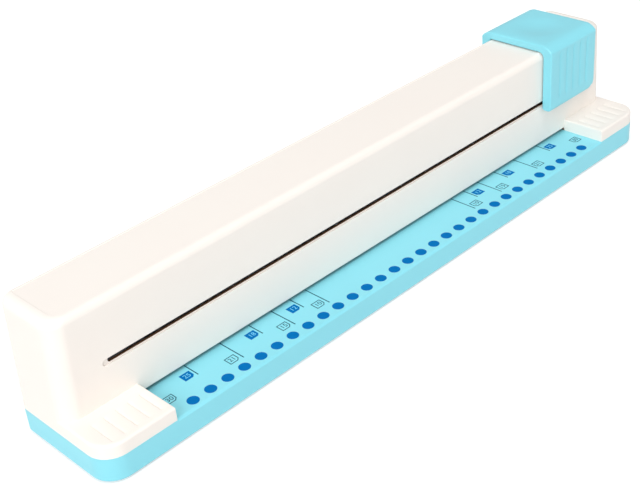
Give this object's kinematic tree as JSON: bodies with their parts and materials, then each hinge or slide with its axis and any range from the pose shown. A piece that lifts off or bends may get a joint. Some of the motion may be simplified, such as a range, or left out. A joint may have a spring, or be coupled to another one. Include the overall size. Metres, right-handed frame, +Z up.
{
  "type": "sliding paper punch",
  "caption": "Long desk punch for loose-leaf sheets: a slider runs along a covered beam, and a roller under it presses a row of sprung punch pins through a sheet on the deck.",
  "frame": {"origin": "middle of the punch's box, slider included, on the surface that its feet stand on", "axes": "+X along the beam towards the parked slider, +Y to the back, +Z up"},
  "size_m": [0.372, 0.0644, 0.0706],
  "materials": {
    "white_plastic": "fine satin, moulded",
    "sky_plastic": "fine satin, moulded",
    "steel": "bright",
    "dark_steel": "black oxide",
    "rubber": "matt"
  },
  "bodies": {
    "frame": {"base_shell": "sky_plastic", "housing": "white_plastic", "die_plate": "steel", "paper_stop": "steel", "guide_channel": "steel", "return_springs": "steel", "top_rail": "steel", "left_bracket": "dark_steel", "right_bracket": "dark_steel", "end_bumpers": "rubber", "housing_screws": "steel", "bracket_screws": "steel", "die_screws": "steel", "rail_screws": "steel", "rubber_feet": "rubber", "hinge_pins": "steel"},
    "slider": {"slider_cap": "sky_plastic", "carriage": "dark_steel", "press_axle": "steel", "support_axles": "steel"},
    "chip_cover": {"chip_cover": "sky_plastic"},
    "press_roller": {"press_roller": "steel"},
    "left_support_roller": {"left_support_roller": "steel"},
    "right_support_roller": {"right_support_roller": "steel"},
    "punch_pin_01": {"punch_pin_01": "steel"},
    "punch_pin_02": {"punch_pin_02": "steel"},
    "punch_pin_03": {"punch_pin_03": "steel"},
    "punch_pin_04": {"punch_pin_04": "steel"},
    "punch_pin_05": {"punch_pin_05": "steel"},
    "punch_pin_06": {"punch_pin_06": "steel"},
    "punch_pin_07": {"punch_pin_07": "steel"},
    "punch_pin_08": {"punch_pin_08": "steel"},
    "punch_pin_09": {"punch_pin_09": "steel"},
    "punch_pin_10": {"punch_pin_10": "steel"},
    "punch_pin_11": {"punch_pin_11": "steel"},
    "punch_pin_12": {"punch_pin_12": "steel"},
    "punch_pin_13": {"punch_pin_13": "steel"},
    "punch_pin_14": {"punch_pin_14": "steel"},
    "punch_pin_15": {"punch_pin_15": "steel"},
    "punch_pin_16": {"punch_pin_16": "steel"},
    "punch_pin_17": {"punch_pin_17": "steel"},
    "punch_pin_18": {"punch_pin_18": "steel"},
    "punch_pin_19": {"punch_pin_19": "steel"},
    "punch_pin_20": {"punch_pin_20": "steel"},
    "punch_pin_21": {"punch_pin_21": "steel"},
    "punch_pin_22": {"punch_pin_22": "steel"},
    "punch_pin_23": {"punch_pin_23": "steel"},
    "punch_pin_24": {"punch_pin_24": "steel"},
    "punch_pin_25": {"punch_pin_25": "steel"},
    "punch_pin_26": {"punch_pin_26": "steel"},
    "punch_pin_27": {"punch_pin_27": "steel"},
    "punch_pin_28": {"punch_pin_28": "steel"},
    "punch_pin_29": {"punch_pin_29": "steel"},
    "punch_pin_30": {"punch_pin_30": "steel"}
  },
  "joints": [
    {"name": "slider_travel", "type": "slide", "parent": "frame", "child": "slider", "axis": [1, 0, 0], "range_m": [-0.2961, 0]},
    {"name": "press_roller_spin", "type": "hinge", "parent": "slider", "child": "press_roller", "pos_m": [0.14805, 0.00925, 0.0464], "axis": [0, 1, 0], "continuous": true},
    {"name": "left_support_roller_spin", "type": "hinge", "parent": "slider", "child": "left_support_roller", "pos_m": [0.14077, 0.00925, 0.05296], "axis": [0, 1, 0], "continuous": true},
    {"name": "right_support_roller_spin", "type": "hinge", "parent": "slider", "child": "right_support_roller", "pos_m": [0.15533, 0.00925, 0.05296], "axis": [0, 1, 0], "continuous": true},
    {"name": "chip_cover_hinge", "type": "hinge", "parent": "frame", "child": "chip_cover", "pos_m": [0, 0.0218, 0.0032], "axis": [1, 0, 0], "range_deg": [0, 80]},
    {"name": "pin_01_press", "type": "slide", "parent": "frame", "child": "punch_pin_01", "axis": [0, 0, -1], "range_m": [0, 0.005], "stiffness_N_per_m": 400, "springref_m": -0.0075, "deforming": ["return_springs"]},
    {"name": "pin_02_press", "type": "slide", "parent": "frame", "child": "punch_pin_02", "axis": [0, 0, -1], "range_m": [0, 0.005], "stiffness_N_per_m": 400, "springref_m": -0.0075, "deforming": ["return_springs"]},
    {"name": "pin_03_press", "type": "slide", "parent": "frame", "child": "punch_pin_03", "axis": [0, 0, -1], "range_m": [0, 0.005], "stiffness_N_per_m": 400, "springref_m": -0.0075, "deforming": ["return_springs"]},
    {"name": "pin_04_press", "type": "slide", "parent": "frame", "child": "punch_pin_04", "axis": [0, 0, -1], "range_m": [0, 0.005], "stiffness_N_per_m": 400, "springref_m": -0.0075, "deforming": ["return_springs"]},
    {"name": "pin_05_press", "type": "slide", "parent": "frame", "child": "punch_pin_05", "axis": [0, 0, -1], "range_m": [0, 0.005], "stiffness_N_per_m": 400, "springref_m": -0.0075, "deforming": ["return_springs"]},
    {"name": "pin_06_press", "type": "slide", "parent": "frame", "child": "punch_pin_06", "axis": [0, 0, -1], "range_m": [0, 0.005], "stiffness_N_per_m": 400, "springref_m": -0.0075, "deforming": ["return_springs"]},
    {"name": "pin_07_press", "type": "slide", "parent": "frame", "child": "punch_pin_07", "axis": [0, 0, -1], "range_m": [0, 0.005], "stiffness_N_per_m": 400, "springref_m": -0.0075, "deforming": ["return_springs"]},
    {"name": "pin_08_press", "type": "slide", "parent": "frame", "child": "punch_pin_08", "axis": [0, 0, -1], "range_m": [0, 0.005], "stiffness_N_per_m": 400, "springref_m": -0.0075, "deforming": ["return_springs"]},
    {"name": "pin_09_press", "type": "slide", "parent": "frame", "child": "punch_pin_09", "axis": [0, 0, -1], "range_m": [0, 0.005], "stiffness_N_per_m": 400, "springref_m": -0.0075, "deforming": ["return_springs"]},
    {"name": "pin_10_press", "type": "slide", "parent": "frame", "child": "punch_pin_10", "axis": [0, 0, -1], "range_m": [0, 0.005], "stiffness_N_per_m": 400, "springref_m": -0.0075, "deforming": ["return_springs"]},
    {"name": "pin_11_press", "type": "slide", "parent": "frame", "child": "punch_pin_11", "axis": [0, 0, -1], "range_m": [0, 0.005], "stiffness_N_per_m": 400, "springref_m": -0.0075, "deforming": ["return_springs"]},
    {"name": "pin_12_press", "type": "slide", "parent": "frame", "child": "punch_pin_12", "axis": [0, 0, -1], "range_m": [0, 0.005], "stiffness_N_per_m": 400, "springref_m": -0.0075, "deforming": ["return_springs"]},
    {"name": "pin_13_press", "type": "slide", "parent": "frame", "child": "punch_pin_13", "axis": [0, 0, -1], "range_m": [0, 0.005], "stiffness_N_per_m": 400, "springref_m": -0.0075, "deforming": ["return_springs"]},
    {"name": "pin_14_press", "type": "slide", "parent": "frame", "child": "punch_pin_14", "axis": [0, 0, -1], "range_m": [0, 0.005], "stiffness_N_per_m": 400, "springref_m": -0.0075, "deforming": ["return_springs"]},
    {"name": "pin_15_press", "type": "slide", "parent": "frame", "child": "punch_pin_15", "axis": [0, 0, -1], "range_m": [0, 0.005], "stiffness_N_per_m": 400, "springref_m": -0.0075, "deforming": ["return_springs"]},
    {"name": "pin_16_press", "type": "slide", "parent": "frame", "child": "punch_pin_16", "axis": [0, 0, -1], "range_m": [0, 0.005], "stiffness_N_per_m": 400, "springref_m": -0.0075, "deforming": ["return_springs"]},
    {"name": "pin_17_press", "type": "slide", "parent": "frame", "child": "punch_pin_17", "axis": [0, 0, -1], "range_m": [0, 0.005], "stiffness_N_per_m": 400, "springref_m": -0.0075, "deforming": ["return_springs"]},
    {"name": "pin_18_press", "type": "slide", "parent": "frame", "child": "punch_pin_18", "axis": [0, 0, -1], "range_m": [0, 0.005], "stiffness_N_per_m": 400, "springref_m": -0.0075, "deforming": ["return_springs"]},
    {"name": "pin_19_press", "type": "slide", "parent": "frame", "child": "punch_pin_19", "axis": [0, 0, -1], "range_m": [0, 0.005], "stiffness_N_per_m": 400, "springref_m": -0.0075, "deforming": ["return_springs"]},
    {"name": "pin_20_press", "type": "slide", "parent": "frame", "child": "punch_pin_20", "axis": [0, 0, -1], "range_m": [0, 0.005], "stiffness_N_per_m": 400, "springref_m": -0.0075, "deforming": ["return_springs"]},
    {"name": "pin_21_press", "type": "slide", "parent": "frame", "child": "punch_pin_21", "axis": [0, 0, -1], "range_m": [0, 0.005], "stiffness_N_per_m": 400, "springref_m": -0.0075, "deforming": ["return_springs"]},
    {"name": "pin_22_press", "type": "slide", "parent": "frame", "child": "punch_pin_22", "axis": [0, 0, -1], "range_m": [0, 0.005], "stiffness_N_per_m": 400, "springref_m": -0.0075, "deforming": ["return_springs"]},
    {"name": "pin_23_press", "type": "slide", "parent": "frame", "child": "punch_pin_23", "axis": [0, 0, -1], "range_m": [0, 0.005], "stiffness_N_per_m": 400, "springref_m": -0.0075, "deforming": ["return_springs"]},
    {"name": "pin_24_press", "type": "slide", "parent": "frame", "child": "punch_pin_24", "axis": [0, 0, -1], "range_m": [0, 0.005], "stiffness_N_per_m": 400, "springref_m": -0.0075, "deforming": ["return_springs"]},
    {"name": "pin_25_press", "type": "slide", "parent": "frame", "child": "punch_pin_25", "axis": [0, 0, -1], "range_m": [0, 0.005], "stiffness_N_per_m": 400, "springref_m": -0.0075, "deforming": ["return_springs"]},
    {"name": "pin_26_press", "type": "slide", "parent": "frame", "child": "punch_pin_26", "axis": [0, 0, -1], "range_m": [0, 0.005], "stiffness_N_per_m": 400, "springref_m": -0.0075, "deforming": ["return_springs"]},
    {"name": "pin_27_press", "type": "slide", "parent": "frame", "child": "punch_pin_27", "axis": [0, 0, -1], "range_m": [0, 0.005], "stiffness_N_per_m": 400, "springref_m": -0.0075, "deforming": ["return_springs"]},
    {"name": "pin_28_press", "type": "slide", "parent": "frame", "child": "punch_pin_28", "axis": [0, 0, -1], "range_m": [0, 0.005], "stiffness_N_per_m": 400, "springref_m": -0.0075, "deforming": ["return_springs"]},
    {"name": "pin_29_press", "type": "slide", "parent": "frame", "child": "punch_pin_29", "axis": [0, 0, -1], "range_m": [0, 0.005], "stiffness_N_per_m": 400, "springref_m": -0.0075, "deforming": ["return_springs"]},
    {"name": "pin_30_press", "type": "slide", "parent": "frame", "child": "punch_pin_30", "axis": [0, 0, -1], "range_m": [0, 0.005], "stiffness_N_per_m": 400, "springref_m": -0.0075, "deforming": ["return_springs"]}
  ],
  "couplings": [
    {"joint": "press_roller_spin", "follows": "slider_travel", "rad_per_m": 166.67},
    {"joint": "left_support_roller_spin", "follows": "slider_travel", "rad_per_m": -285.71},
    {"joint": "right_support_roller_spin", "follows": "slider_travel", "rad_per_m": -285.71}
  ]
}
